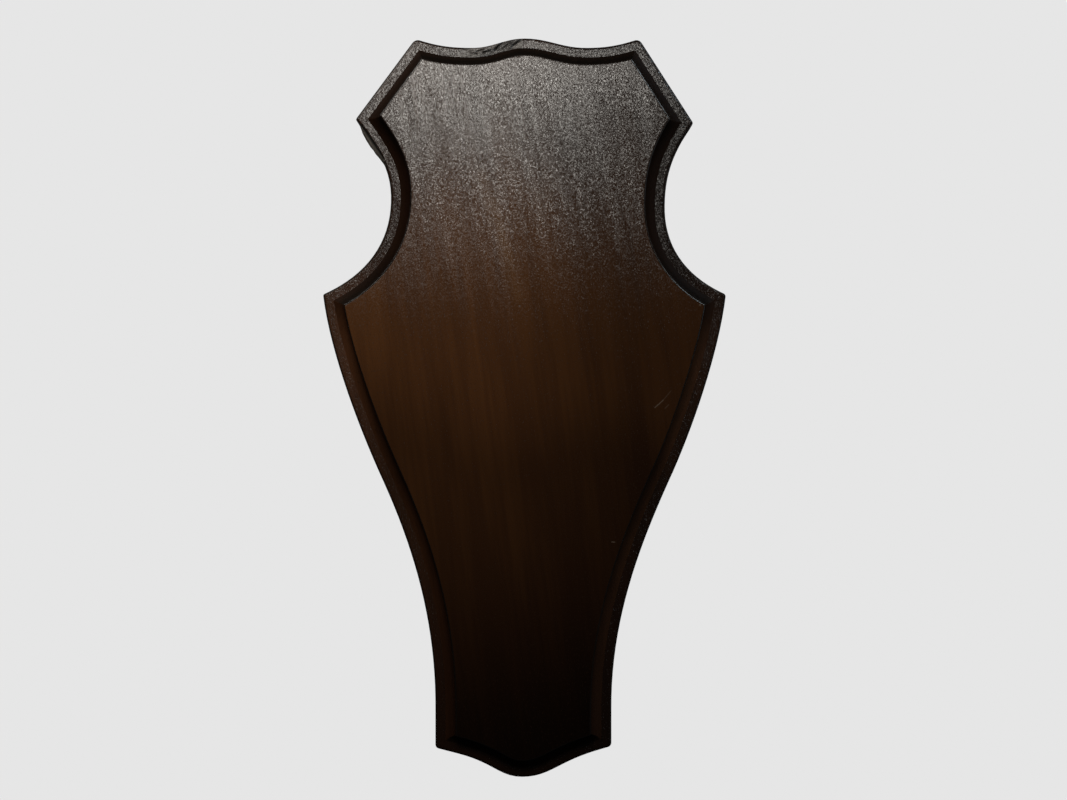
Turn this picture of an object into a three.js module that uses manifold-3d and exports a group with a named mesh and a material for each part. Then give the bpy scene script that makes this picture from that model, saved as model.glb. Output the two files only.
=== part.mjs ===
// Trophy mounting plaque: one shaped wooden board that hangs flat against a wall.
// Units are millimetres. Seen from the front, X is to the right and Z is up, and the front faces -Y.
// The origin is on the flat back, on the pattern's centre line, at half the board's height.
import * as THREE from "three";
import { mergeVertices } from "three/addons/utils/BufferGeometryUtils.js";
import Module from "manifold-3d";

// Board
const BOARD_HEIGHT = 240;
const BOARD_THICKNESS = 15;

// Pattern of the outline: distances out from the centre line, and heights above the foot
const DIP_OUT = 18.4;
const DIP_DROP = 3.05;
const SHOULDER_OUT = 36.4;
const SHOULDER_DROP = 0.15;
const HORN_OUT = 54.9;
const HORN_HEIGHT = 213.1;
const WAIST_OUT = 44.5;
const WAIST_HEIGHT = 186.5;
const WING_OUT = 65.5;
const WING_HEIGHT = 156.8;
const FLANK_OUT = 46.9;
const FLANK_HEIGHT = 97.2;
const TAIL_OUT = 28.6;
const TAIL_HEIGHT = 22.8;
const HEEL_HEIGHT = 9.75;
const LOBE_OUT = 12.2;
const LOBE_HEIGHT = 4.05;

// Pattern of the outline: slopes in degrees, and how far each curve holds its direction
const SHOULDER_RISE = 18;
const HORN_UNDERCUT = 34;
const WING_FLARE = 66;
const WING_TAPER = 6.6;
const FLANK_TAPER = 24.5;
const HEEL_RISE = 16;
const LOBE_RISE = 27;
const CURVE_FULLNESS = 0.39;
const WING_FULLNESS = 0.29;
const TAIL_FULLNESS = 0.35;

// The outline was sawn by hand: its middle wanders to the right of the centre line by each lean,
// and the right side stands higher than the pattern by each lift, the left side lower
const DIP_LEAN = 1.5;
const SHOULDER_LEAN = 0.9;
const WAIST_LEAN = 1.1;
const FLANK_LEAN = 0.5;
const TAIL_LEAN = -0.35;
const FOOT_LEAN = -0.8;
const HORN_LIFT = -0.6;
const WAIST_LIFT = -1.5;
const HEEL_LIFT = 0.25;

// Moulding round the front: a flat rim, then a cove that climbs to the raised field
const BACK_ARRIS = 0.6;
const RIM_ARRIS = 0.9;
const RIM_WIDTH = 3.3;
const COVE_WIDTH = 3.6;
const COVE_RISE = 5.1;
const COVE_HOLLOW = 0.84;
const FIELD_ARRIS = 0.45;

// Keyhole slot in the back: the screw's head goes in at the mouth, and the board drops onto its shank
const HANG_HEIGHT = 206;
const HANG_DROP = 14;
const SCREW_HEAD = 8.5;
const SCREW_SHANK = 4;
const SCREW_CLEARANCE = 1;
const KEYHOLE_LIP = 3.2;
const KEYHOLE_DEPTH = 8.5;
const CUT_OVERSHOOT = 2;

// How finely the curves are cut into facets: each run of one side, in order from the crest to the foot
const FACETS = { crown: 20, chamfer: 5, notch: 30, flank: 38, base: 15 };
const ARRIS_STEPS = 4;
const COVE_STEPS = 8;
const TRACE_STEPS = 160;
const DRILL_STEPS = 8;
const CROSSING_SLACK = 1e-9;

const WOOD = { color: 0x1d120c, roughness: 0.42, metalness: 0 };

// Headings along the outline are degrees from straight down, positive away from the centre line
const DOWN = 0;
const OUTWARD = 90;
const INWARD = -90;

function heading(side, degrees) {
  const turn = THREE.MathUtils.degToRad(degrees);
  return new THREE.Vector2(side * Math.sin(turn), -Math.cos(turn));
}

// A point of the pattern on the right side (1) or the left side (-1)
function patternPoint(side, out, height, lean = 0, lift = 0) {
  return new THREE.Vector2(side * out + lean, height + side * lift - BOARD_HEIGHT / 2);
}

// A curve on one side that leaves a point on one heading and arrives at another on its own heading
function flow(side, from, leaving, to, arriving, fullness = CURVE_FULLNESS) {
  const reach = fullness * from.distanceTo(to);
  const leaves = from.clone().addScaledVector(heading(side, leaving), reach);
  const arrives = to.clone().addScaledVector(heading(side, arriving), -reach);
  return new THREE.CubicBezierCurve(from, leaves, arrives, to);
}

function chain(...curves) {
  const run = new THREE.CurvePath();
  curves.forEach((curve) => run.add(curve));
  return run;
}

// One side of the pattern, as the runs between its corners, each followed down towards the foot
function patternSide(side) {
  const crest = patternPoint(side, 0, BOARD_HEIGHT);
  const dip = patternPoint(side, DIP_OUT, BOARD_HEIGHT - DIP_DROP, DIP_LEAN);
  const shoulder = patternPoint(side, SHOULDER_OUT, BOARD_HEIGHT - SHOULDER_DROP, SHOULDER_LEAN);
  const horn = patternPoint(side, HORN_OUT, HORN_HEIGHT, 0, HORN_LIFT);
  const waist = patternPoint(side, WAIST_OUT, WAIST_HEIGHT, WAIST_LEAN, WAIST_LIFT);
  const wing = patternPoint(side, WING_OUT, WING_HEIGHT);
  const flank = patternPoint(side, FLANK_OUT, FLANK_HEIGHT, FLANK_LEAN);
  const tail = patternPoint(side, TAIL_OUT, TAIL_HEIGHT, TAIL_LEAN);
  const heel = patternPoint(side, TAIL_OUT, HEEL_HEIGHT, TAIL_LEAN, HEEL_LIFT);
  const lobe = patternPoint(side, LOBE_OUT, LOBE_HEIGHT);
  const foot = patternPoint(side, 0, 0, FOOT_LEAN);
  return {
    crown: chain(
      flow(side, crest, OUTWARD, dip, OUTWARD),
      flow(side, dip, OUTWARD, shoulder, OUTWARD + SHOULDER_RISE),
    ),
    chamfer: chain(new THREE.LineCurve(shoulder, horn)),
    notch: chain(
      flow(side, horn, DOWN - HORN_UNDERCUT, waist, DOWN),
      flow(side, waist, DOWN, wing, DOWN + WING_FLARE),
    ),
    flank: chain(
      flow(side, wing, DOWN - WING_TAPER, flank, DOWN - FLANK_TAPER, WING_FULLNESS),
      flow(side, flank, DOWN - FLANK_TAPER, tail, DOWN, TAIL_FULLNESS),
      new THREE.LineCurve(tail, heel),
    ),
    base: chain(
      flow(side, heel, INWARD + HEEL_RISE, lobe, INWARD + LOBE_RISE),
      flow(side, lobe, INWARD + LOBE_RISE, foot, INWARD),
    ),
  };
}

// Follows a run of one side at a set distance inside it
function trace(run, side, inset) {
  const points = [];
  for (let step = 0; step <= TRACE_STEPS; step += 1) {
    const along = step / TRACE_STEPS;
    const direction = run.getTangentAt(along);
    const inward = new THREE.Vector2(side * direction.y, -side * direction.x);
    points.push(run.getPointAt(along).addScaledVector(inward, inset));
  }
  return points;
}

// How far along a-b, from 0 to 1, it crosses c-d, or null where the two don't cross
function crossing(a, b, c, d) {
  const first = b.clone().sub(a);
  const second = d.clone().sub(c);
  const gap = c.clone().sub(a);
  const across = first.cross(second);
  const onFirst = gap.cross(second) / across;
  const onSecond = gap.cross(first) / across;
  const isOn = (share) => share > -CROSSING_SLACK && share < 1 + CROSSING_SLACK;
  return isOn(onFirst) && isOn(onSecond) ? onFirst : null;
}

// Cuts the end of one trace and the start of the next where they cross, as a mitre does
function mitre(before, after) {
  for (let i = before.length - 2; i >= 0; i -= 1) {
    for (let j = 0; j < after.length - 1; j += 1) {
      const along = crossing(before[i], before[i + 1], after[j], after[j + 1]);
      if (along !== null) {
        const corner = before[i].clone().lerp(before[i + 1], along);
        before.splice(i + 1, before.length, corner);
        after.splice(0, j + 1, corner);
        return;
      }
    }
  }
  throw new Error("two neighbouring runs of the outline don't meet");
}

// Spreads points evenly along a trace, from its first point up to just before its last
function spread(points, count) {
  const reached = [0];
  for (let i = 1; i < points.length; i += 1) {
    reached.push(reached[i - 1] + points[i].distanceTo(points[i - 1]));
  }
  const spaced = [];
  let i = 1;
  for (let n = 0; n < count; n += 1) {
    const target = (n / count) * reached[reached.length - 1];
    while (reached[i] < target) i += 1;
    const along = (target - reached[i - 1]) / (reached[i] - reached[i - 1]);
    spaced.push(points[i - 1].clone().lerp(points[i], along));
  }
  return spaced;
}

// The traces of one side from the crest to the foot, mitred at its four corners
function sideTraces(side, inset) {
  const pattern = patternSide(side);
  const traces = Object.entries(FACETS)
    .map(([name, facets]) => ({ facets, points: trace(pattern[name], side, inset) }));
  for (let i = 1; i < traces.length; i += 1) {
    mitre(traces[i - 1].points, traces[i].points);
  }
  return traces;
}

// The outline at a set distance inside the pattern, clockwise as seen from the front.
// It always has the same number of points: down the right side, then back up the left.
function ring(inset) {
  const down = sideTraces(1, inset);
  const up = sideTraces(-1, inset).reverse();
  up.forEach(({ points }) => points.reverse());
  return [...down, ...up].flatMap(({ points, facets }) => spread(points, facets));
}

// A quarter round from a wall that stands at an inset to a face that lies at a height off the back
function quarterRound(wall, face, radius) {
  return Array.from({ length: ARRIS_STEPS + 1 }, (_, step) => {
    const turn = (step / ARRIS_STEPS) * (Math.PI / 2);
    return {
      inset: wall + radius * (1 - Math.cos(turn)),
      off: face - radius * (1 - Math.sin(turn)),
    };
  });
}

// The cove sags below the straight line from the rim to the wall under the field's arris.
// Its last point is that arris's first one, so it is left to the arris.
function cove(inset, off) {
  const chord = Math.hypot(COVE_WIDTH, COVE_RISE);
  const radius = (chord * chord) / (8 * COVE_HOLLOW) + COVE_HOLLOW / 2;
  const halfTurn = Math.asin(chord / 2 / radius);
  return Array.from({ length: COVE_STEPS }, (_, step) => {
    const turn = ((2 * step) / COVE_STEPS - 1) * halfTurn;
    const along = chord / 2 + radius * Math.sin(turn);
    const sag = radius * (Math.cos(turn) - Math.cos(halfTurn));
    return {
      inset: inset + (along * COVE_WIDTH + sag * COVE_RISE) / chord,
      off: off + (along * COVE_RISE - sag * COVE_WIDTH) / chord,
    };
  });
}

// The section through the board's edge, from the back round to the field
function edgeSection() {
  const rimFace = BOARD_THICKNESS - FIELD_ARRIS - COVE_RISE;
  return [
    { inset: BACK_ARRIS, off: 0 },
    { inset: 0, off: BACK_ARRIS },
    ...quarterRound(0, rimFace, RIM_ARRIS),
    ...cove(RIM_WIDTH, rimFace),
    ...quarterRound(RIM_WIDTH + COVE_WIDTH, BOARD_THICKNESS, FIELD_ARRIS),
  ];
}

// The board before the keyhole is cut: a ring for each point of the edge's section, and two flat faces
function boardGeometry() {
  const rings = edgeSection().map(({ inset, off }) => ({ points: ring(inset), off }));
  const count = rings[0].points.length;
  const faces = [];
  for (let level = 0; level < rings.length - 1; level += 1) {
    for (let n = 0; n < count; n += 1) {
      const here = level * count + n;
      const next = level * count + ((n + 1) % count);
      faces.push(here, here + count, next, next, here + count, next + count);
    }
  }
  const last = rings.length - 1;
  const back = THREE.ShapeUtils.triangulateShape(rings[0].points, []);
  const field = THREE.ShapeUtils.triangulateShape(rings[last].points, []);
  back.forEach(([a, b, c]) => faces.push(a, c, b));
  field.forEach(([a, b, c]) => faces.push(last * count + a, last * count + b, last * count + c));
  const positions = rings.flatMap(({ points, off }) => points.flatMap((point) => [point.x, -off, point.y]));
  const geometry = new THREE.BufferGeometry();
  geometry.setAttribute("position", new THREE.Float32BufferAttribute(positions, 3));
  geometry.setIndex(faces);
  return geometry;
}

// A round-ended cutter that runs up the back from the mouth by its travel, between two depths
function slotCutter(width, travel, shallow, deep) {
  const mouth = HANG_HEIGHT - HANG_DROP - BOARD_HEIGHT / 2;
  const outline = new THREE.Shape();
  outline.absarc(0, mouth + travel, width / 2, 0, Math.PI, false);
  outline.absarc(0, mouth, width / 2, Math.PI, 2 * Math.PI, false);
  const settings = { depth: deep - shallow, bevelEnabled: false, curveSegments: DRILL_STEPS };
  const geometry = new THREE.ExtrudeGeometry(outline, settings);
  geometry.rotateX(Math.PI / 2);
  geometry.translate(0, -shallow, 0);
  return geometry;
}

const wasm = await Module();
wasm.setup();

function toSolid(geometry) {
  const bare = geometry.clone();
  bare.deleteAttribute("normal");
  bare.deleteAttribute("uv");
  const merged = mergeVertices(bare);
  return new wasm.Manifold(new wasm.Mesh({
    numProp: 3,
    vertProperties: merged.getAttribute("position").array,
    triVerts: new Uint32Array(merged.index.array),
  }));
}

function toGeometry(solid) {
  const { vertProperties, triVerts } = solid.getMesh();
  const geometry = new THREE.BufferGeometry();
  geometry.setAttribute("position", new THREE.BufferAttribute(vertProperties, 3));
  geometry.setIndex(new THREE.BufferAttribute(triVerts, 1));
  geometry.computeVertexNormals();
  return geometry;
}

// The board with its keyhole: a round mouth, a neck for the shank, and a wider slot under the lips
function plaqueBoard() {
  const mouthWidth = SCREW_HEAD + SCREW_CLEARANCE;
  const neckWidth = SCREW_SHANK + SCREW_CLEARANCE;
  const mouth = slotCutter(mouthWidth, 0, -CUT_OVERSHOOT, KEYHOLE_DEPTH);
  const neck = slotCutter(neckWidth, HANG_DROP, -CUT_OVERSHOOT, KEYHOLE_DEPTH);
  const undercut = slotCutter(mouthWidth, HANG_DROP, KEYHOLE_LIP, KEYHOLE_DEPTH);
  const keyhole = toSolid(mouth).add(toSolid(neck)).add(toSolid(undercut));
  const board = toGeometry(toSolid(boardGeometry()).subtract(keyhole));
  const mesh = new THREE.Mesh(board, new THREE.MeshStandardMaterial(WOOD));
  mesh.name = "plaque_board";
  return mesh;
}

const plaque = new THREE.Group();
plaque.add(plaqueBoard());

export default plaque;
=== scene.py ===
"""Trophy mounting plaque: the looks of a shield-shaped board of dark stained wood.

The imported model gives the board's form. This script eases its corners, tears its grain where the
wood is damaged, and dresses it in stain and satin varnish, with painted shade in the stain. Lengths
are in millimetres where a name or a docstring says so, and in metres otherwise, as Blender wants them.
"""
import logging
import math
from collections.abc import Callable, Iterable, Mapping
from dataclasses import dataclass, field
from enum import Enum
from typing import TypeVar

import bmesh
import bpy
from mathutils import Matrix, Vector, noise


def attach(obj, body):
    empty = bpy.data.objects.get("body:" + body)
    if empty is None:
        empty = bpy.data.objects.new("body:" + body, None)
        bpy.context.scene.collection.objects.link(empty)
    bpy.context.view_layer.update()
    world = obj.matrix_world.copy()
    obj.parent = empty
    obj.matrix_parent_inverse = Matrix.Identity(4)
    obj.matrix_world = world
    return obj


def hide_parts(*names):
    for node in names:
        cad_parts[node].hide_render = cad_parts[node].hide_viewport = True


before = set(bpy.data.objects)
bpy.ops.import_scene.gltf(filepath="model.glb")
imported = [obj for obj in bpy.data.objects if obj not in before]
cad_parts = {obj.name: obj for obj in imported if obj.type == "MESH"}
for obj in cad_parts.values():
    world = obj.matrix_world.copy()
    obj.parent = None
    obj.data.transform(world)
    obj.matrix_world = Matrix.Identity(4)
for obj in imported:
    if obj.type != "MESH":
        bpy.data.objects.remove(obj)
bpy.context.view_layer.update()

MM = 0.001

# Distances in front of the back, in millimetres: the rim's flat, and the top of the outer wall.
RIM_FACE = 9.45
WALL_TOP = 8.55

# How far the two ends of a level edge may differ in depth, in millimetres.
LEVEL_EDGE = 0.02

# How the wood's patterns repeat to a millimetre: across the fibres, through the board and along them.
BROAD_STREAKS = (0.09, 0.09, 0.010)
THIN_STREAKS = (0.65, 0.65, 0.035)
PORE_DASHES = (3.2, 3.2, 1.0)
SHEEN_BANDS = (0.26, 0.26, 0.016)
# Patches that make the edges of the painted shade on the stain wander.
PAINTED_SHADE_PATCHES = (0.03, 0.03, 0.012)

# The share of its repeats that the facets' pattern keeps near the top: less than 1 draws facets out.
DRAWN_FACETS = (1.0, 1.0, 0.7)

# Where soft steps start and end, in the noise's or the normal's own numbers.
STREAK_STEP = (0.34, 0.66)
PORE_STEP = (0.58, 0.70)
END_GRAIN_STEP = (0.15, 0.75)

# Where soft steps start and end on the board, in millimetres up from the middle, or to the right.
HEAD_STEP = (78.0, 104.0)
CROWN_STEP = (98.0, 112.0)
# The waist, foot and right steps place painted shade on the stain.
WAIST_STEP = (16.0, -20.0)
FOOT_STEP = (-20.0, -118.0)
RIGHT_STEP = (-18.0, 42.0)

BROAD_SHARE = 0.6
THIN_SHARE = 0.4
# How far, in millimetres, the edges of the painted shade wander.
PAINTED_SHADE_WANDER = 40.0
SHEEN_LEAN = 5.0
PORE_COVER = 0.4
PORE_TONE = 0.3
PORE_ROUGHNESS = 0.15
STREAK_GLOSS = 0.03

# Black for the painted shade in the cracks and in the split.
BLACK = (0.002, 0.002, 0.002)
WHITE = (1.0, 1.0, 1.0, 1.0)

# The light of the windows and side lamp, and that of the fills at the right, which is bluer.
WARM_LIGHT = (1.0, 0.965, 0.90)
COOL_LIGHT = (0.82, 1.0, 1.12)

# A window's panes face this point, in metres, from this far away, and have this width and height.
WINDOW_AIM = (0.0, -0.015, 0.09)
WINDOW_GAP = 0.45
PANE = (0.022, 0.06)

log = logging.getLogger("plaque")

Colour = tuple[float, float, float]
Item = TypeVar("Item")


class Zone(Enum):
    """The parts of the board that are finished in different ways; the value is the material's place."""

    FIELD = 0
    COVE = 1
    RIM = 2
    WALL = 3
    BACK = 4
    KEYHOLE = 5
    TORN = 6
    SPLINTER = 7
    ARRIS = 8


class Wire:
    """An output of a shader node. Python's arithmetic on it adds Math nodes."""

    def __init__(self, sheet: "ShaderSheet", socket: bpy.types.NodeSocket) -> None:
        """Keeps the socket and the sheet that it is on."""
        self.sheet = sheet
        self.socket = socket

    def maths(self, operation: str, *values: "Wire | float", clamp: bool = False) -> "Wire":
        """Adds one Math node.

        Args:
            operation: the Math node's operation.
            values: its inputs in order.
            clamp: whether the result is held between 0 and 1.

        Returns:
            The node's output.
        """
        settings = {"operation": operation, "use_clamp": clamp}
        return self.sheet.add("ShaderNodeMath", settings, dict(enumerate(values)))

    def __add__(self, other: "Wire | float") -> "Wire":
        """This plus other."""
        return self.maths("ADD", self, other)

    def __radd__(self, other: float) -> "Wire":
        """Other plus this."""
        return self.maths("ADD", other, self)

    def __sub__(self, other: "Wire | float") -> "Wire":
        """This minus other."""
        return self.maths("SUBTRACT", self, other)

    def __rsub__(self, other: float) -> "Wire":
        """Other minus this."""
        return self.maths("SUBTRACT", other, self)

    def __mul__(self, other: "Wire | float") -> "Wire":
        """This times other."""
        return self.maths("MULTIPLY", self, other)

    def __rmul__(self, other: float) -> "Wire":
        """Other times this."""
        return self.maths("MULTIPLY", other, self)

    def clamped(self) -> "Wire":
        """This, held between 0 and 1."""
        return self.maths("ADD", self, 0.0, clamp=True)

    def ramp(self, low: float, high: float) -> "Wire":
        """A smooth step.

        Args:
            low: the value that becomes 0.
            high: the value that becomes 1; it may be below low, and the step then falls.

        Returns:
            A value from 0 to 1.
        """
        settings = {"interpolation_type": "SMOOTHSTEP", "clamp": True}
        values = {"Value": self, "From Min": low, "From Max": high, "To Min": 0.0, "To Max": 1.0}
        return self.sheet.add("ShaderNodeMapRange", settings, values)


class ShaderSheet:
    """The node tree of one material, with short ways to add to it."""

    def __init__(self, name: str) -> None:
        """Makes an empty material.

        Args:
            name: the material's name.
        """
        self.material = bpy.data.materials.new(name)
        self.material.use_nodes = True
        self.tree = self.material.node_tree
        self.tree.nodes.clear()
        self.place = self.vector("SCALE", self.coordinates("Object"), Scale=1 / MM)

    def add(
        self,
        kind: str,
        settings: Mapping[str, object] | None = None,
        values: Mapping[str | int, object] | None = None,
        output: str | int = 0,
    ) -> Wire:
        """Adds any node.

        Args:
            kind: the node's type.
            settings: its properties, set first.
            values: what goes into its sockets, by name or number; a Wire is linked.
            output: the output that is wanted.

        Returns:
            That output.
        """
        node = self.tree.nodes.new(kind)
        for name, value in (settings or {}).items():
            setattr(node, name, value)
        for name, value in (values or {}).items():
            if isinstance(value, Wire):
                self.tree.links.new(value.socket, node.inputs[name])
            else:
                node.inputs[name].default_value = value
        return Wire(self, node.outputs[output])

    def coordinates(self, output: str) -> Wire:
        """The Texture Coordinate node's output of that name."""
        return self.add("ShaderNodeTexCoord", output=output)

    def vector(self, operation: str, *vectors: "Wire | Colour", **values: object) -> Wire:
        """Adds one Vector Math node.

        Args:
            operation: the node's operation.
            vectors: its vector inputs in order.
            values: its other inputs by name.

        Returns:
            The vector that comes out.
        """
        inputs = dict(enumerate(vectors)) | values
        return self.add("ShaderNodeVectorMath", {"operation": operation}, inputs)

    def distance(self, vector: Wire) -> Wire:
        """The length of a vector."""
        return self.add("ShaderNodeVectorMath", {"operation": "LENGTH"}, {0: vector}, "Value")

    def dot(self, first: Wire, second: "Wire | Colour") -> Wire:
        """The dot product of two vectors."""
        settings = {"operation": "DOT_PRODUCT"}
        return self.add("ShaderNodeVectorMath", settings, {0: first, 1: second}, "Value")

    def part(self, vector: Wire, axis: str) -> Wire:
        """One of a vector's three numbers, X, Y or Z."""
        return self.add("ShaderNodeSeparateXYZ", values={0: vector}, output=axis)

    def turned(self, degrees: float, scale: Colour) -> Wire:
        """The place on the board, leaned about the Y axis and then scaled, for a pattern with a grain.

        Args:
            degrees: how far the pattern leans; the bottom of a fibre goes to the right.
            scale: repeats to a millimetre along X, Y and Z.

        Returns:
            The coordinates for a texture.
        """
        turn = (0.0, math.radians(degrees), 0.0)
        lean = self.add("ShaderNodeMapping", values={"Vector": self.place, "Rotation": turn})
        return self.vector("MULTIPLY", lean, scale)

    def noise(self, where: Wire, detail: float = 2.0) -> Wire:
        """A noise texture, mostly from 0.3 to 0.7.

        Args:
            where: its coordinates.
            detail: how many finer layers it has.

        Returns:
            The noise as a value.
        """
        values = {"Vector": where, "Scale": 1.0, "Detail": detail}
        return self.add("ShaderNodeTexNoise", {"noise_dimensions": "3D"}, values)

    def blend(self, factor: Wire | float, first: "Wire | Colour", second: "Wire | Colour") -> Wire:
        """Mixes two colours.

        Args:
            factor: 0 for the first and 1 for the second.
            first: a colour.
            second: a colour.

        Returns:
            The mixed colour.
        """
        sides = {6: first, 7: second}
        values = {n: c if isinstance(c, Wire) else (*c, 1.0) for n, c in sides.items()}
        settings = {"data_type": "RGBA", "clamp_factor": True}
        return self.add("ShaderNodeMix", settings, {0: factor} | values, 2)

    def finish(self, **sockets: object) -> bpy.types.Material:
        """Ends the material in one Principled shader.

        Args:
            sockets: what goes into the shader, with _ for a space in a name.

        Returns:
            The material.
        """
        values = {name.replace("_", " "): value for name, value in sockets.items()}
        shader = self.add("ShaderNodeBsdfPrincipled", values=values)
        output = self.tree.nodes.new("ShaderNodeOutputMaterial")
        self.tree.links.new(shader.socket, output.inputs["Surface"])
        return self.material


@dataclass(frozen=True)
class Stroke:
    """A short straight mark or crack between two points (X and Z in millimetres)."""

    start: tuple[float, float]
    end: tuple[float, float]
    width: float
    strength: float
    colour: Colour = (0.16, 0.12, 0.09)

    def closeness(self, place: Vector) -> float:
        """How near a point of the mesh is.

        Args:
            place: the point, in millimetres.

        Returns:
            1 on the stroke, falling to 0 at its width away.
        """
        start, end = (Vector(point) for point in (self.start, self.end))
        run = end - start
        offset = Vector((place.x, place.z)) - start
        along = min(max(offset.dot(run) / run.length_squared, 0.0), 1.0)
        return max(1.0 - (offset - run * along).length / self.width, 0.0)

    def mask(self, sheet: ShaderSheet) -> Wire:
        """1 on the mark and 0 away from it.

        Args:
            sheet: the material that the mark is drawn in.

        Returns:
            The mask, times the mark's strength.
        """
        run = Vector((self.end[0] - self.start[0], 0.0, self.end[1] - self.start[1]))
        flat = sheet.vector("MULTIPLY", sheet.place, (1.0, 0.0, 1.0))
        offset = sheet.vector("SUBTRACT", flat, (self.start[0], 0.0, self.start[1]))
        across = run / run.length_squared
        along = sheet.dot(offset, tuple(across)).clamped()
        nearest = sheet.vector("SCALE", tuple(run), Scale=along)
        apart = sheet.distance(sheet.vector("SUBTRACT", offset, nearest))
        return apart.ramp(self.width, 0.0) * self.strength


@dataclass(frozen=True)
class Finish:
    """One way that the wood is finished. Its grain runs on from one finish into the next."""

    name: str
    warm: Colour
    dark: Colour
    roughness: float
    specular: float
    pebble_height: float
    pore_height: float
    pebbles: float = 2.3
    glint: float = 0.0
    glints: float = 5.0
    glitter_span: tuple[float, float] = (8.0, 64.0)
    glitter_least: float = 1.0
    dulling: float = 0.0
    waviness: float = 0.0
    crown: float = 0.0
    fineness: float = 1.0
    end_tone: Colour = (1.0, 1.0, 1.0)
    # The next four fields are the shares of the stain's colour left by painted shade at the waist, the
    # foot, the right and the head. The field after them says where the head's painted shade starts and
    # ends, in millimetres up from the middle.
    waist_shade_share: float = 1.0
    foot_shade_share: float = 1.0
    right_shade_share: float = 1.0
    head_shade_share: float = 1.0
    head_shade_span: tuple[float, float] = (60.0, 108.0)
    marks: tuple[Stroke, ...] = ()
    lean: float = 7.0

    def along_grain(self, sheet: ShaderSheet, repeats: Colour) -> Wire:
        """Coordinates for a pattern that follows the fibres, as fine as this finish is."""
        return sheet.turned(self.lean, tuple(part * self.fineness for part in repeats))

    def streaks(self, sheet: ShaderSheet) -> Wire:
        """Soft bands along the fibres where the stain took more or less.

        Args:
            sheet: the material.

        Returns:
            A value from 0, dark, to 1, light.
        """
        broad = sheet.noise(self.along_grain(sheet, BROAD_STREAKS), detail=1.0)
        thin = sheet.noise(self.along_grain(sheet, THIN_STREAKS), detail=2.0)
        return (broad * BROAD_SHARE + thin * THIN_SHARE).ramp(*STREAK_STEP)

    def pores(self, sheet: ShaderSheet) -> Wire:
        """Open pores: short thin dashes along the fibres, 1 in a pore and 0 on the wood between."""
        dashes = sheet.noise(sheet.turned(self.lean, PORE_DASHES), detail=1.0)
        return dashes.ramp(*PORE_STEP)

    def at_head(self, sheet: ShaderSheet) -> Wire:
        """0 on most of the board and 1 near its top."""
        return sheet.part(sheet.place, "Z").ramp(*HEAD_STEP)

    def glitter(self, sheet: ShaderSheet) -> Wire:
        """How strongly the facets stand out: fully above the notches and less further down."""
        height = sheet.part(sheet.place, "Z").ramp(*self.glitter_span)
        return height * (1 - self.glitter_least) + self.glitter_least

    def pebbled(self, sheet: ShaderSheet) -> Wire:
        """The fine pebbled skin of varnish over raised grain."""
        return sheet.noise(sheet.turned(self.lean, (self.pebbles, self.pebbles, self.pebbles)), detail=2.0)

    def facets(self, sheet: ShaderSheet) -> Wire:
        """Tiny facets of the varnish, drawn out along the fibres near the top.

        Args:
            sheet: the material.

        Returns:
            Three chance numbers from 0 to 1 for each facet, as a colour.
        """
        fine = self.glints
        lean = sheet.turned(self.lean, (fine, fine, fine))
        drawn = sheet.vector("MULTIPLY", lean, DRAWN_FACETS)
        kind, settings = "ShaderNodeTexVoronoi", {"feature": "F1"}
        even = sheet.add(kind, settings, {"Vector": lean, "Scale": 1.0}, "Color")
        long = sheet.add(kind, settings, {"Vector": drawn, "Scale": 1.0}, "Color")
        return sheet.blend(self.at_head(sheet), even, long)

    def tilted(self, sheet: ShaderSheet, normal: Wire, facets: Wire) -> Wire:
        """Leans each facet its own way, so that the sheen glitters.

        Args:
            sheet: the material.
            normal: the normal before.
            facets: the facets' chance numbers.

        Returns:
            The normal with the facets and a soft wave in it.
        """
        slope = sheet.vector("SUBTRACT", facets, (0.5, 0.5, 0.5))
        glint = self.glint * self.glitter(sheet)
        bands = sheet.noise(sheet.turned(self.lean + SHEEN_LEAN, SHEEN_BANDS), detail=2.0)
        crown = sheet.part(sheet.place, "Z").ramp(*CROWN_STEP) * self.crown
        wave = sheet.vector("SCALE", (0.0, 0.0, 1.0), Scale=(bands - 0.5) * self.waviness + crown)
        turned = sheet.vector("ADD", normal, sheet.vector("SCALE", slope, Scale=glint))
        return sheet.vector("NORMALIZE", sheet.vector("ADD", turned, wave))

    def painted_shade(self, sheet: ShaderSheet) -> Wire:
        """How much of the stain's colour painted shade leaves.

        It falls to the foot and to the right as the light does in the photograph, and at the top it
        keeps the grey sheen from turning brown. The real stain need not vary so.

        Args:
            sheet: the material.

        Returns:
            1 for the full colour, down to 0 for black.
        """
        wander = sheet.noise(sheet.turned(self.lean, PAINTED_SHADE_PATCHES), detail=1.0) - 0.5
        height = sheet.part(sheet.place, "Z") + wander * PAINTED_SHADE_WANDER
        waist = height.ramp(*WAIST_STEP)
        foot = height.ramp(*FOOT_STEP)
        head = height.ramp(*self.head_shade_span)
        right = (sheet.part(sheet.place, "X") + wander * PAINTED_SHADE_WANDER).ramp(*RIGHT_STEP)
        painted_shade = (1 - waist * (1 - self.waist_shade_share)) * (1 - foot * (1 - self.foot_shade_share))
        return painted_shade * (1 - right * (1 - self.right_shade_share)) * (1 - head * (1 - self.head_shade_share))

    def end_grain(self, sheet: ShaderSheet) -> Wire:
        """How squarely the surface cuts across the fibres, which drink more stain there."""
        facing = sheet.part(sheet.coordinates("Normal"), "Z")
        return facing.maths("ABSOLUTE", facing).ramp(*END_GRAIN_STEP)

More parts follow.
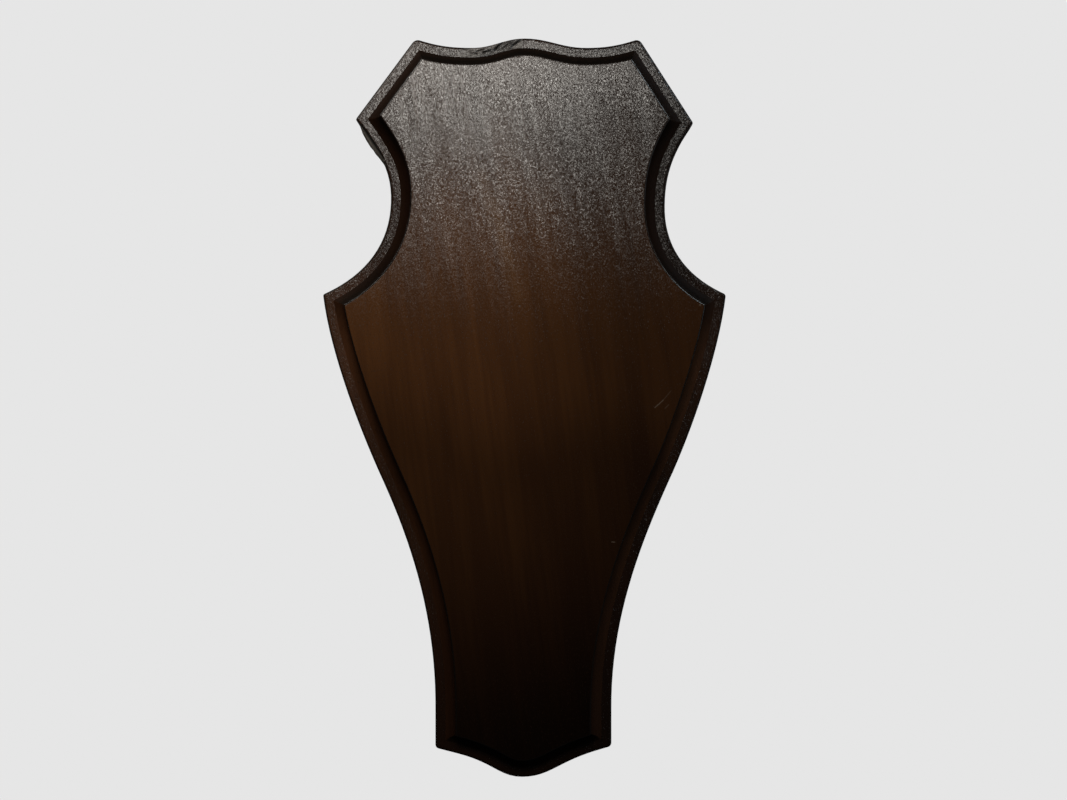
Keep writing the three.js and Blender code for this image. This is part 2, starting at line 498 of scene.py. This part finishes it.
    def colour(self, sheet: ShaderSheet, streaks: Wire, pores: Wire) -> Wire:
        """The stain's colour, with painted shade in it.

        Args:
            sheet: the material.
            streaks: how light the stain is along the fibres.
            pores: where the pores are.

        Returns:
            The colour, darkened by painted shade, with pores darker and marks in their own colour.
        """
        wood = sheet.blend(streaks, self.dark, self.warm)
        # Painted shade: the stain is blended towards black at the waist, the foot, the right and the head.
        wood = sheet.blend(self.painted_shade(sheet), (0.0, 0.0, 0.0), wood)
        soaked = sheet.vector("MULTIPLY", wood, self.end_tone)
        wood = sheet.blend(self.end_grain(sheet), wood, soaked)
        wood = sheet.blend(pores * PORE_COVER, wood, tuple(part * PORE_TONE for part in self.dark))
        for mark in self.marks:
            wood = sheet.blend(mark.mask(sheet), wood, mark.colour)
        return wood

    def material(self) -> bpy.types.Material:
        """Builds the finish.

        Returns:
            The material.
        """
        sheet = ShaderSheet(self.name)
        streaks = self.streaks(sheet)
        pores = self.pores(sheet)
        height = self.pebbled(sheet) * self.pebble_height - pores * self.pore_height
        bump = {"Height": height, "Strength": 1.0, "Distance": MM}
        normal = sheet.add("ShaderNodeBump", values=bump)
        roughness = self.roughness + pores * PORE_ROUGHNESS - streaks * STREAK_GLOSS
        if self.glint:
            facets = self.facets(sheet)
            normal = self.tilted(sheet, normal, facets)
            roughness = roughness + sheet.part(facets, "Y") * self.dulling * self.glitter(sheet)
        return sheet.finish(
            Base_Color=self.colour(sheet, streaks, pores),
            Roughness=roughness.clamped(),
            Specular_IOR_Level=self.specular,
            Normal=normal,
        )


MARKS = (
    Stroke((41.8, 0.1), (44.4, 2.4), 0.30, 0.6),
    Stroke((44.4, 2.4), (46.9, 5.4), 0.22, 0.25),
    Stroke((45.0, -0.2), (46.2, 1.0), 0.22, 0.3),
    Stroke((-12.9, 49.7), (-12.8, 50.0), 0.45, 0.5),
    Stroke((28.0, -42.9), (28.9, -43.0), 0.3, 0.5),
    Stroke((56.2, 32.9), (56.3, 33.0), 0.45, 0.6),
    Stroke((-13.5, 74.0), (-2.0, 36.0), 3.6, 0.12, (0.20, 0.095, 0.03)),
    Stroke((-10.0, 66.0), (-5.0, 48.0), 2.4, 0.10, (0.20, 0.095, 0.03)),
)

# Black cracks in the torn patch: painted shade in the cracks, which are also sunk in the mesh.
CRACKS = (
    Stroke((-7.3, 118.6), (-9.6, 116.3), 0.45, 1.0, BLACK),
    Stroke((-9.6, 116.3), (-13.4, 115.3), 0.35, 0.7, BLACK),
    Stroke((-13.0, 116.4), (-15.6, 115.6), 0.30, 0.6, BLACK),
    Stroke((-1.1, 119.4), (-3.8, 117.6), 0.45, 1.0, BLACK),
    Stroke((-3.8, 117.6), (-4.3, 116.9), 0.35, 0.6, BLACK),
    Stroke((-15.5, 114.9), (-17.4, 115.1), 0.30, 0.6, BLACK),
)

# Black line between the splinter and the rim: painted shade in the gap, which is also a groove in the
# mesh.
SPLIT = Stroke((-53.7, 93.2), (-45.6, 81.0), 0.9, 1.0, BLACK)

FINISHES = {
    Zone.FIELD: Finish(
        name="field_satin",
        warm=(0.098, 0.037, 0.012),
        dark=(0.069, 0.0255, 0.0088),
        roughness=0.11,
        specular=0.5,
        pebble_height=0.005,
        pore_height=0.005,
        glint=0.20,
        glints=4.4,
        glitter_least=0.25,
        dulling=0.22,
        waviness=0.09,
        crown=0.05,
        waist_shade_share=0.53,
        foot_shade_share=0.12,
        right_shade_share=0.43,
        head_shade_share=0.32,
        head_shade_span=(42.0, 92.0),
        marks=MARKS,
    ),
    # Nearly black on the field's rounded edge next to the cove, darker than the field beside it.
    Zone.ARRIS: Finish(
        name="arris_near_black_stain",
        warm=(0.012, 0.008, 0.006),
        dark=(0.008, 0.005, 0.004),
        roughness=0.25,
        specular=0.3,
        pebble_height=0.02,
        pore_height=0.02,
    ),
    # The cove is darkened by painted shade from its shade shares, most at its top, and by its end grain
    # drinking more stain.
    Zone.COVE: Finish(
        name="cove_stain_painted_shade",
        warm=(0.090, 0.035, 0.015),
        dark=(0.066, 0.026, 0.011),
        roughness=0.6,
        specular=0.05,
        pebble_height=0.03,
        pore_height=0.02,
        end_tone=(0.30, 0.50, 0.75),
        waist_shade_share=0.7,
        foot_shade_share=0.5,
        right_shade_share=0.6,
        head_shade_share=0.17,
        head_shade_span=(14.0, 42.0),
    ),
    Zone.RIM: Finish(
        name="rim_open_grain",
        warm=(0.085, 0.036, 0.018),
        dark=(0.055, 0.024, 0.012),
        roughness=0.24,
        specular=0.43,
        pebble_height=0.03,
        pore_height=0.04,
        glint=0.20,
        glints=4.0,
        waviness=0.15,
        waist_shade_share=0.62,
        foot_shade_share=0.4,
        right_shade_share=0.33,
        head_shade_share=0.35,
        head_shade_span=(18.0, 55.0),
    ),
    # Near-black on the wall. Most of the rim's rounded outer arris takes it too, as a painted shade line.
    Zone.WALL: Finish(
        name="wall_sawn_edge_and_arris_shade",
        warm=(0.014, 0.010, 0.007),
        dark=(0.009, 0.006, 0.005),
        roughness=0.6,
        specular=0.12,
        pebble_height=0.06,
        pore_height=0.06,
    ),
    Zone.BACK: Finish(
        name="back_thin_stain",
        warm=(0.120, 0.064, 0.036),
        dark=(0.070, 0.038, 0.022),
        roughness=0.55,
        specular=0.4,
        pebble_height=0.05,
        pore_height=0.06,
    ),
    Zone.KEYHOLE: Finish(
        name="keyhole_bare_wood",
        warm=(0.420, 0.270, 0.150),
        dark=(0.300, 0.180, 0.095),
        roughness=0.75,
        specular=0.3,
        pebble_height=0.08,
        pore_height=0.08,
    ),
    Zone.TORN: Finish(
        name="torn_rim_fibres",
        warm=(0.110, 0.095, 0.085),
        dark=(0.012, 0.009, 0.007),
        roughness=0.35,
        specular=0.5,
        pebble_height=0.08,
        pore_height=0.05,
        glint=0.25,
        fineness=5.0,
        marks=CRACKS,
        lean=-66.0,
    ),
    # Pale grey: the lifted fibres' own lighter colour, raised further as a painted sheen, as its specular
    # is low.
    Zone.SPLINTER: Finish(
        name="splinter_fibres_painted_sheen",
        warm=(0.140, 0.125, 0.110),
        dark=(0.045, 0.040, 0.034),
        roughness=0.7,
        specular=0.05,
        pebble_height=0.05,
        pore_height=0.04,
        fineness=5.0,
        marks=(SPLIT,),
        lean=33.0,
    ),
}


@dataclass(frozen=True)
class Corner:
    """A corner of the outline that is worn round; the sizes are in millimetres."""

    near: tuple[float, float]
    radius: float


CORNERS = (
    Corner((-35.5, 119.9), 2.3),
    Corner((37.3, 119.9), 2.1),
    Corner((-54.9, 93.7), 0.7),
    Corner((54.9, 92.5), 0.9),
    Corner((-65.5, 36.8), 0.8),
    Corner((65.5, 36.8), 1.2),
    Corner((-29.0, -110.5), 1.3),
    Corner((28.3, -110.0), 1.5),
)


def distinct(items: Iterable[Item]) -> list[Item]:
    """The items without repeats, in the order that they come in, so that every run is alike."""
    return list(dict.fromkeys(items))


def plan(vert: bmesh.types.BMVert) -> Vector:
    """Where a vertex is as seen from the front, X and Z in millimetres."""
    return Vector((vert.co.x, vert.co.z)) / MM


def edge_is_level(edge: bmesh.types.BMEdge) -> bool:
    """Whether an edge runs along the outline, at one depth."""
    first, second = edge.verts
    return abs(first.co.y - second.co.y) < LEVEL_EDGE * MM


@dataclass(frozen=True)
class TornPatch:
    """A shallow patch on the top of the rim where the grain tore. Sizes are in millimetres."""

    start: float = -19.5
    end: float = -0.6
    foot: float = 112.5
    depths: tuple[float, float] = (8.9, 9.46)
    fade: float = 3.0
    depth: float = 0.22
    mean_tear: float = 0.5
    crack_depth: float = 0.5
    along: float = 0.35
    across: float = 1.3
    lean: float = -66.0
    cuts: int = 7

    def holds(self, face: bmesh.types.BMFace) -> bool:
        """Whether a face is in the patch.

        Args:
            face: a face of the board.

        Returns:
            True where its middle is in the patch.
        """
        centre = face.calc_center_median() / MM
        low, high = self.depths
        return self.start < centre.x < self.end and centre.z > self.foot and low < -centre.y < high

    def sunk(self, place: Vector) -> float:
        """How far the surface has gone.

        Args:
            place: a point of the mesh, in millimetres.

        Returns:
            The depth of the tear there, in millimetres.
        """
        edge = min(place.x - self.start, self.end - place.x) / self.fade
        lean = math.radians(self.lean)
        along = place.x * math.sin(lean) - place.z * math.cos(lean)
        across = place.x * math.cos(lean) + place.z * math.sin(lean)
        rough = noise.noise(Vector((across * self.across, along * self.along, 0.0)))
        crack = max(stroke.closeness(place) * stroke.strength for stroke in CRACKS)
        torn = max(self.mean_tear + rough, 0.0) * self.depth
        return torn * min(max(edge, 0.0), 1.0) + crack * self.crack_depth

    def cut(self, mesh: bmesh.types.BMesh) -> None:
        """Tears the patch.

        Args:
            mesh: the board.
        """
        faces = [face for face in mesh.faces if self.holds(face)]
        edges = distinct(edge for face in faces for edge in face.edges)
        bmesh.ops.subdivide_edges(mesh, edges=edges, cuts=self.cuts, use_grid_fill=True)
        inner = [v for v in mesh.verts if v.link_faces and all(map(self.holds, v.link_faces))]
        for vert in inner:
            vert.co.y += self.sunk(vert.co / MM) * MM
        log.info("torn patch: %d vertices sunk", len(inner))


@dataclass(frozen=True)
class Splinter:
    """A sliver that has lifted off the wall under the left ear. Sizes are in millimetres."""

    start: tuple[float, float] = (-53.2, 92.0)
    end: tuple[float, float] = (-44.9, 79.4)
    reach: float = 2.5
    lift: float = 1.15
    widest: float = 0.42
    groove: float = 0.55
    groove_depths: tuple[float, float] = (9.3, 9.42)
    lip_depth: float = 9.1
    lip_slack: float = 0.15
    shelf_rise: float = 0.1
    shelf_run: float = 0.5
    wall_cuts: tuple[float, ...] = (7.4, 5.0, 2.6)
    wall_reach: float = 0.5
    cuts: int = 5
    ragged: float = 0.16
    ragged_waves: float = 9.0
    ragged_row: float = 3.7
    slice_slack: float = 1e-7

    def along(self, place: Vector) -> float:
        """How far down the sliver a point is.

        Args:
            place: a point of the mesh, in millimetres.

        Returns:
            0 at the sliver's upper end and 1 at its lower end.
        """
        start, end = (Vector(point) for point in (self.start, self.end))
        run = end - start
        return (Vector((place.x, place.z)) - start).dot(run) / run.length_squared

    def aside(self, place: Vector) -> float:
        """How far a point is from the sliver's line.

        Args:
            place: a point of the mesh, in millimetres.

        Returns:
            The distance as seen from the front, in millimetres.
        """
        start, end = (Vector(point) for point in (self.start, self.end))
        run = (end - start).normalized()
        return abs((Vector((place.x, place.z)) - start).cross(run))

    def holds(self, face: bmesh.types.BMFace) -> bool:
        """Whether a face is on the sliver.

        Args:
            face: a face of the board.

        Returns:
            True where its middle is on the sliver.
        """
        centre = face.calc_center_median() / MM
        low, high = self.wall_cuts[-1], self.groove_depths[1]
        in_depth = low * self.wall_reach < -centre.y < high
        return in_depth and 0.0 < self.along(centre) < 1.0 and self.aside(centre) < self.reach

    def swell(self, place: Vector) -> float:
        """How far the sliver stands out, at the depth where it stands most.

        Args:
            place: a point of the mesh, in millimetres.

        Returns:
            The distance in millimetres.
        """
        along = self.along(place)
        if along <= 0.0 or along >= 1.0:
            return 0.0
        rise = along / self.widest if along < self.widest else (1.0 - along) / (1.0 - self.widest)
        rough = noise.noise(Vector((along * self.ragged_waves, 0.0, self.ragged_row))) * self.ragged
        return self.lift * math.sin(rise * math.pi / 2) * (1.0 + rough)

    def slice_wall(self, mesh: bmesh.types.BMesh) -> None:
        """Cuts the wall behind the sliver into level rows, and those into short lengths.

        Args:
            mesh: the board.
        """
        for depth in self.wall_cuts:
            faces = [face for face in mesh.faces if self.holds(face)]
            edges = distinct(edge for face in faces for edge in face.edges)
            verts = distinct(vert for face in faces for vert in face.verts)
            bmesh.ops.bisect_plane(
                mesh,
                geom=faces + edges + verts,
                dist=self.slice_slack,
                plane_co=Vector((0.0, -depth * MM, 0.0)),
                plane_no=Vector((0.0, 1.0, 0.0)),
            )
        faces = [face for face in mesh.faces if self.holds(face)]
        edges = distinct(edge for face in faces for edge in face.edges if edge_is_level(edge))
        bmesh.ops.subdivide_edges(mesh, edges=edges, cuts=self.cuts, use_grid_fill=True)

    def share(self, depth: float) -> float:
        """How much of its full swell the sliver has at a depth.

        Args:
            depth: distance in front of the back, in millimetres.

        Returns:
            A share that grows up the wall to 1, and falls to 0 just past the lip.
        """
        if depth < self.wall_cuts[0]:
            return min(max(depth / self.wall_cuts[0], 0.0), 1.0) ** 2
        return min(max((self.lip_depth + self.shelf_rise - depth) / self.shelf_run, 0.0), 1.0)

    def cut(self, mesh: bmesh.types.BMesh) -> None:
        """Lifts the sliver and sinks the groove behind it.

        Args:
            mesh: the board.
        """
        self.slice_wall(mesh)
        start, end = (Vector(point) for point in (self.start, self.end))
        run = (end - start).normalized()
        out = Vector((run.y, 0.0, -run.x))
        low, high = self.groove_depths
        inner = [vert for vert in mesh.verts if any(map(self.holds, vert.link_faces))]
        for vert in inner:
            place = vert.co / MM
            depth = -place.y
            swell = self.swell(place)
            if low < depth < high:
                vert.co.y += self.groove * min(swell, 1.0) * MM
            elif depth <= self.lip_depth + self.lip_slack:
                vert.co += out * swell * self.share(depth) * MM
        log.info("splinter: %d vertices moved", len(inner))


@dataclass
class Board:
    """The board: one solid, with eased corners, a torn patch on the rim and a lifted splinter."""

    node: str = "plaque_board"
    name: str = "plaque_wood"
    body: str = "root"
    slot: str = "stained_wood"
    thickness: float = 15.0
    rim_face: float = RIM_FACE
    # Depth in millimetres below the rim's flat under which its outer arris takes the wall's near-black: a
    # painted shade line.
    rim_shade: float = 0.05
    cove_top: float = 14.55
    back_arris: float = 0.6
    keyhole_width: float = 9.6
    keyhole_span: tuple[float, float] = (66.0, 92.0)
    weld: float = 0.001
    level_slack: float = 0.004
    facet_limit: float = 5.0
    crease: float = 25.0
    corner_turn: float = 30.0
    wall_top: float = WALL_TOP
    field_corner: float = 1.0
    corner_steps: int = 4
    corner_cuts: int = 11
    corner_reach: float = 1.35
    side_length: float = 9.0
    tip_slack: float = 0.01
    at_centre: float = 1e-6
    band: float = 0.3
    torn_patch: TornPatch = TornPatch()
    splinter: Splinter = Splinter()

    def level(self, depth: float) -> Callable[[bmesh.types.BMVert], bool]:
        """A test for vertices at one depth.

        Args:
            depth: distance in front of the back, in millimetres.

        Returns:
            A function that says whether a vertex is there.
        """
        return lambda vert: abs(-vert.co.y / MM - depth) < self.level_slack

    def join_facets(self, mesh: bmesh.types.BMesh) -> None:
        """Makes the moulding's triangles quads again, and the field one face.

        Args:
            mesh: the board.
        """
        on_field = self.level(self.thickness)
        on_back = self.level(0.0)
        field_faces = [f for f in mesh.faces if all(map(on_field, f.verts))]
        bmesh.ops.dissolve_faces(mesh, faces=field_faces, use_verts=False)
        strips = [f for f in mesh.faces if len(f.verts) == 3 and not all(map(on_back, f.verts))]
        bmesh.ops.join_triangles(
            mesh,
            faces=strips,
            angle_face_threshold=math.radians(self.facet_limit),
            angle_shape_threshold=math.pi,
        )

    def turn_at(self, vert: bmesh.types.BMVert) -> float:
        """How sharply the outline turns at a vertex.

        Args:
            vert: a vertex of the moulding.

        Returns:
            The turn in degrees, or 0 where the vertex isn't on one outline.
        """
        near = [edge.other_vert(vert) for edge in vert.link_edges]
        ends = [other for other in near if abs(other.co.y - vert.co.y) < self.level_slack * MM]
        if len(ends) != 2:
            return 0.0
        first = vert.co - ends[0].co
        second = ends[1].co - vert.co
        return math.degrees(first.angle(second, 0.0))

    def mitres(self, mesh: bmesh.types.BMesh, low: float, high: float) -> list[bmesh.types.BMEdge]:
        """The edges that run across the moulding at the outline's corners.

        Args:
            mesh: the board.
            low: the least depth in front of the back, in millimetres.
            high: the most.

        Returns:
            The edges between those depths.
        """
        found = []
        for edge in mesh.edges:
            depths = [-vert.co.y / MM for vert in edge.verts]
            crosses = abs(depths[0] - depths[1]) > self.level_slack
            inside = min(depths) > low and max(depths) < high
            if crosses and inside and max(map(self.turn_at, edge.verts)) > self.corner_turn:
                found.append(edge)
        return found

    def ease_field(self, mesh: bmesh.types.BMesh) -> None:
        """Rounds the corners of the field a little, as sanding does.

        Args:
            mesh: the board.
        """
        slack = self.level_slack
        edges = self.mitres(mesh, self.rim_face - slack, self.thickness + slack)
        log.info("easing %d corner edges by %.2f mm", len(edges), self.field_corner)
        bmesh.ops.bevel(
            mesh,
            geom=edges,
            offset=self.field_corner * MM,
            offset_type="OFFSET",
            affect="EDGES",
            segments=self.corner_steps,
            profile=0.5,
            material=-1,
            clamp_overlap=True,
        )

    def divide_sides(self, mesh: bmesh.types.BMesh, tip: Vector, deepest: float) -> None:
        """Divides the level edges that meet at a corner, so that they can bend.

        Args:
            mesh: the board.
            tip: the corner, X and Z in millimetres.
            deepest: how far in front of the back the edges may be, in millimetres.
        """
        edges = [
            edge
            for edge in mesh.edges
            if edge_is_level(edge)
            and all(-vert.co.y / MM < deepest for vert in edge.verts)
            and min((plan(vert) - tip).length for vert in edge.verts) < self.corner_reach
            and max((plan(vert) - tip).length for vert in edge.verts) < self.side_length
        ]
        bmesh.ops.subdivide_edges(mesh, edges=edges, cuts=self.corner_cuts, use_grid_fill=True)

    def round_corner(self, mesh: bmesh.types.BMesh, corner: Corner) -> None:
        """Rounds one corner of the outline, through the wall and the rim's arris.

        Args:
            mesh: the board.
            corner: where it is and how round it becomes.
        """
        on_wall = self.level(self.wall_top)
        ring = [vert for vert in mesh.verts if on_wall(vert)]
        tip_vert = min(ring, key=lambda vert: (plan(vert) - Vector(corner.near)).length)
        tip = plan(tip_vert)
        sides = [
            (plan(edge.other_vert(tip_vert)) - tip).normalized()
            for edge in tip_vert.link_edges
            if edge_is_level(edge)
        ]
        inward = (sides[0] + sides[1]).normalized()
        half = sides[0].angle(inward)
        lean = math.pi / 2 - half
        centre = tip + inward * (corner.radius / math.sin(half))
        reach = (tip - centre).length + self.tip_slack
        deepest = self.rim_face + self.level_slack
        self.divide_sides(mesh, tip, deepest)
        moved = 0
        for vert in mesh.verts:
            arm = plan(vert) - centre
            if -vert.co.y / MM > deepest or not self.at_centre <= arm.length <= reach:
                continue
            off = arm.angle(-inward)
            if off < lean:
                there = centre + arm * math.cos(lean - off)
                vert.co.x, vert.co.z = there.x * MM, there.y * MM
                moved += 1
        log.info("corner at %.1f, %.1f: %d vertices rounded", tip.x, tip.y, moved)

    def add_bands(self, mesh: bmesh.types.BMesh) -> None:
        """Puts a narrow band inside each flat face, so that only the band is shaded as round.

        Args:
            mesh: the board.
        """
        on_field = self.level(self.thickness)
        on_rim = self.level(self.rim_face)
        for test in (on_field, on_rim):
            flat = [f for f in mesh.faces if all(map(test, f.verts))]
            bmesh.ops.inset_region(
                mesh, faces=flat, thickness=self.band * MM, use_boundary=True, use_even_offset=True
            )

    def zone_of(self, face: bmesh.types.BMFace) -> Zone:
        """Which finish a face takes, from where it is.

        Args:
            face: a face of the board.

        Returns:
            The part of the board that it belongs to.
        """
        centre = face.calc_center_median() / MM
        depth = -centre.y
        low, high = self.keyhole_span
        slack = self.level_slack
        in_keyhole = abs(centre.x) < self.keyhole_width / 2 and low < centre.z < high
        if in_keyhole and slack < depth < self.rim_face:
            return Zone.KEYHOLE
        if self.torn_patch.holds(face):
            return Zone.TORN
        if self.splinter.holds(face) and depth > self.splinter.wall_cuts[0]:
            return Zone.SPLINTER
        if depth < self.back_arris - slack:
            return Zone.BACK
        # Most of the rim's outer arris gets the wall's near-black here: a painted shade line.
        if depth < self.rim_face - self.rim_shade:
            return Zone.WALL
        if depth < self.rim_face + slack:
            return Zone.RIM
        if depth < self.cove_top:
            return Zone.COVE
        if depth < self.thickness - slack:
            return Zone.ARRIS
        return Zone.FIELD

    def build(self) -> bpy.types.Object:
        """Builds the board's visible mesh.

        Returns:
            The board, with its finishes, riding on the body.
        """
        mesh = bmesh.new()
        mesh.from_mesh(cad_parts[self.node].data)
        bmesh.ops.remove_doubles(mesh, verts=mesh.verts, dist=self.weld * MM)
        self.join_facets(mesh)
        self.ease_field(mesh)
        for corner in CORNERS:
            self.round_corner(mesh, corner)
        self.add_bands(mesh)
        self.torn_patch.cut(mesh)
        self.splinter.cut(mesh)
        for face in mesh.faces:
            face.smooth = True
            face.material_index = self.zone_of(face).value
        for edge in mesh.edges:
            edge.smooth = edge.calc_face_angle(0.0) < math.radians(self.crease)
        data = bpy.data.meshes.new(self.name)
        mesh.to_mesh(data)
        mesh.free()
        piece = bpy.data.objects.new(self.name, data)
        bpy.context.scene.collection.objects.link(piece)
        for zone in Zone:
            data.materials.append(FINISHES[zone].material())
        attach(piece, self.body)
        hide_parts(self.node)
        log.info("%s: %d faces", self.name, len(data.polygons))
        return piece


@dataclass
class Lamp:
    """A soft panel light, placed by its direction as seen from the point that it faces."""

    name: str
    target: Vector
    distance: float
    elevation: float
    azimuth: float
    size: tuple[float, float]
    watts: float
    colour: Colour = WARM_LIGHT

    def build(self) -> bpy.types.Object:
        """Makes the light.

        Returns:
            The light, aimed at its target.
        """
        data = bpy.data.lights.new(self.name, "AREA")
        data.shape = "RECTANGLE"
        data.size, data.size_y = self.size
        data.energy = self.watts
        data.color = self.colour
        lamp = bpy.data.objects.new(self.name, data)
        rise = math.radians(self.elevation)
        turn = math.radians(self.azimuth)
        away = Vector((math.sin(turn) * math.cos(rise), -math.cos(turn) * math.cos(rise), math.sin(rise)))
        lamp.location = self.target + away * self.distance
        lamp.rotation_euler = (-away).to_track_quat("-Z", "Y").to_euler()
        lamp.visible_camera = False
        bpy.context.scene.collection.objects.link(lamp)
        return lamp


def window(
    name: str,
    elevation: float,
    azimuth: float,
    span: float,
    watts: tuple[float, ...],
) -> list[Lamp]:
    """A window seen from the top of the board: a row of narrow panes with bars between them.

    Args:
        name: the start of the lamps' names.
        elevation: how high the row is, in degrees.
        azimuth: where its middle is, in degrees.
        span: how wide it is, in degrees.
        watts: the light of each pane from left to right.

    Returns:
        One lamp for each pane.
    """
    pitch = span / len(watts)
    lamps = []
    for number, power in enumerate(watts):
        turn = azimuth + pitch * (number + 0.5) - span / 2
        aim = Vector(WINDOW_AIM)
        lamps.append(Lamp(f"{name}_{number}", aim, WINDOW_GAP, elevation, turn, PANE, power))
    return lamps


@dataclass
class Studio:
    """The studio: a pale floor and surround, the lamps and the camera.

    The rows of panes are aimed so that, from the camera, the varnish shows them as its sheen.
    """

    camera_gap: float = 400.0
    near_clip: float = 0.01
    rim_face: float = RIM_FACE
    wall_top: float = WALL_TOP
    aim: tuple[float, float] = (2.93, 2.49)
    frame_width: float = 346.95
    sensor: float = 36.0
    surround: float = 0.791
    spill: float = 0.01
    floor_drop: float = 0.6
    floor_size: tuple[float, float] = (6.0, 4.4)
    floor_end: float = 1.4
    floor_colour: Colour = (0.30, 0.30, 0.30)
    floor_glow: float = 0.66
    floor_roughness: float = 0.9
    lamps: list[Lamp] = field(default_factory=lambda: [
        *window("window_head", 28.5, -7.0, 32.0, (0.052, 0.042, 0.037, 0.036, 0.032)),
        *window("window_top", 23.0, 3.5, 42.0, (0.060, 0.098, 0.078, 0.058, 0.046, 0.032, 0.017)),
        *window("window_middle", 17.5, -0.7, 28.7, (0.072, 0.056, 0.038, 0.028, 0.013)),
        *window("window_foot", 14.0, -10.0, 26.0, (0.017, 0.014, 0.012, 0.012)),
        *window("window_sill", 6.5, -12.0, 23.0, (0.006, 0.005, 0.005, 0.005)),
        Lamp("side_lamp", Vector((0.0, -0.015, 0.04)), 0.2, 50.0, -60.0, (0.08, 0.08), 0.100),
        Lamp("right_fill", Vector((0.0, -0.01, -0.01)), 0.8, 5.0, 78.0, (0.3, 0.3), 0.38, COOL_LIGHT),
        Lamp("right_head", Vector((0.03, -0.01, 0.07)), 0.5, 42.0, 62.0, (0.1, 0.1), 0.70, COOL_LIGHT),
        Lamp("back_fill_left", Vector(), 1.2, 35.0, -145.0, (0.8, 0.8), 5.0),
        Lamp("back_fill_right", Vector(), 1.2, 35.0, 145.0, (0.8, 0.8), 5.0),
    ])

    def set_camera(self) -> bpy.types.Object:
        """Places the camera straight in front, where the photograph was taken from.

        Returns:
            The camera.
        """
        data = bpy.data.cameras.new("camera")
        data.sensor_fit = "HORIZONTAL"
        data.sensor_width = self.sensor
        data.lens = self.sensor * (self.camera_gap + self.rim_face - self.wall_top) / self.frame_width
        data.clip_start = self.near_clip
        camera = bpy.data.objects.new("camera", data)
        camera.location = Vector((self.aim[0], -self.rim_face - self.camera_gap, self.aim[1])) * MM
        camera.rotation_euler = (math.pi / 2, 0.0, 0.0)
        bpy.context.scene.collection.objects.link(camera)
        bpy.context.scene.camera = camera
        return camera

    def set_surround(self) -> bpy.types.World:
        """Makes the pale surround that the camera sees, which lights the board only a little.

        Returns:
            The world.
        """
        world = bpy.data.worlds.new("surround")
        world.use_nodes = True
        tree = world.node_tree
        tree.nodes.clear()
        seen = tree.nodes.new("ShaderNodeLightPath")
        level = tree.nodes.new("ShaderNodeMapRange")
        level.inputs["To Min"].default_value = self.spill
        level.inputs["To Max"].default_value = self.surround
        shader = tree.nodes.new("ShaderNodeBackground")
        output = tree.nodes.new("ShaderNodeOutputWorld")
        tree.links.new(seen.outputs["Is Camera Ray"], level.inputs["Value"])
        tree.links.new(level.outputs["Result"], shader.inputs["Strength"])
        tree.links.new(shader.outputs["Background"], output.inputs["Surface"])
        shader.inputs["Color"].default_value = WHITE
        bpy.context.scene.world = world
        return world

    def lay_floor(self) -> bpy.types.Object:
        """Lays a pale floor well below and behind the board, which hangs.

        Returns:
            The floor.
        """
        mesh = bmesh.new()
        bmesh.ops.create_grid(mesh, x_segments=1, y_segments=1, size=0.5)
        bmesh.ops.scale(mesh, vec=Vector((*self.floor_size, 1.0)), verts=mesh.verts)
        centre = Vector((0.0, self.floor_end - self.floor_size[1] / 2, -self.floor_drop))
        bmesh.ops.translate(mesh, vec=centre, verts=mesh.verts)
        data = bpy.data.meshes.new("floor")
        mesh.to_mesh(data)
        mesh.free()
        floor = bpy.data.objects.new("floor", data)
        bpy.context.scene.collection.objects.link(floor)
        sheet = ShaderSheet("floor_paper")
        paper = sheet.finish(
            Base_Color=(*self.floor_colour, 1.0),
            Roughness=self.floor_roughness,
            Emission_Color=WHITE,
            Emission_Strength=self.floor_glow,
        )
        data.materials.append(paper)
        floor.visible_diffuse = False
        floor.visible_glossy = False
        return floor

    def build(self) -> None:
        """Sets up everything around the board."""
        scene = bpy.context.scene
        scene.view_settings.view_transform = "Standard"
        scene.view_settings.look = "None"
        self.set_camera()
        self.set_surround()
        self.lay_floor()
        for lamp in self.lamps:
            lamp.build()


def main() -> None:
    """Builds the studio and the board."""
    logging.basicConfig(level=logging.INFO, format="%(name)s: %(message)s")
    Studio().build()
    board = Board().build()
    bpy.context.view_layer.update()
    log.info("%s is done", board.name)


if __name__ == "__main__":
    main()
